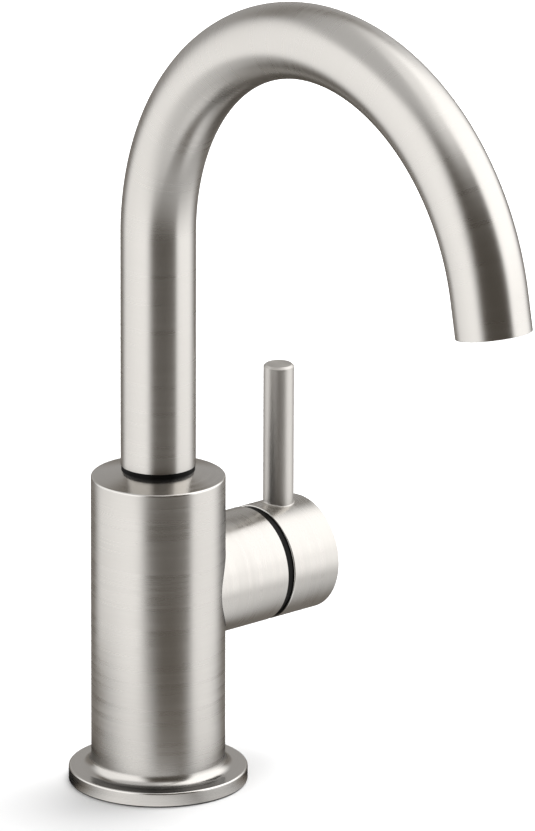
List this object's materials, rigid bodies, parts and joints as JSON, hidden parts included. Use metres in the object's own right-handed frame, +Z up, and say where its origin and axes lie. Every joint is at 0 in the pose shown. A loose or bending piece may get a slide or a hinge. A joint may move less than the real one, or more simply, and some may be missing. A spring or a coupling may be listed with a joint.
{
  "type": "beverage faucet",
  "caption": "Deck-mounted beverage faucet with a round body, a swivelling gooseneck spout and an upright side lever that opens a ceramic disc valve.",
  "frame": {"origin": "centre of the deck plane, on the underside of the gasket below the round base", "axes": "+Z up along the body, -Y towards the user and the spout's outlet, +X along the side valve to the lever"},
  "size_m": [0.0791, 0.1743, 0.3209],
  "materials": {
    "brushed_nickel": "satin brushed, warm grey",
    "brass": "machined",
    "stainless": "plain rolled",
    "rubber": "matt",
    "acetal": "black, slight sheen",
    "plastic": "moulded, off-white",
    "ceramic": "lapped"
  },
  "bodies": {
    "base": {"body_shell": "brushed_nickel", "base_gasket": "rubber", "waterway_core": "brass", "valve_housing": "brushed_nickel", "friction_ring": "acetal", "spout_bearing": "acetal", "cartridge_body": "brass", "cartridge_nut": "brass", "cartridge_o_ring": "rubber", "seat_washer": "rubber", "fixed_disc": "ceramic", "thrust_washer": "plastic", "threaded_shank": "brass", "rubber_washer": "rubber", "steel_washer": "stainless", "mounting_nut": "brass", "inlet_tail": "brass", "inlet_o_ring": "rubber"},
    "spout": {"spout_tube": "brushed_nickel", "spout_stem": "brass", "spout_o_ring_upper": "rubber", "spout_o_ring_lower": "rubber", "spout_clip": "stainless", "outlet_ring": "brass", "aerator_washer": "rubber", "aerator_screen": "stainless", "aerator_insert": "plastic", "aerator_housing": "plastic"},
    "handle": {"handle_hub": "brushed_nickel", "lever_rod": "brushed_nickel", "grub_screw": "stainless", "spindle_adapter": "plastic", "valve_spindle": "brass", "spindle_o_ring": "rubber", "spindle_clip": "stainless", "moving_disc": "ceramic"}
  },
  "joints": [
    {"name": "spout_swivel", "type": "hinge", "parent": "base", "child": "spout", "pos_m": [0, 0, 0.0937], "axis": [0, 0, 1], "continuous": true},
    {"name": "handle_turn", "type": "hinge", "parent": "base", "child": "handle", "pos_m": [0.0451, 0, 0.0566], "axis": [1, 0, 0], "range_deg": [0, 90]}
  ]
}
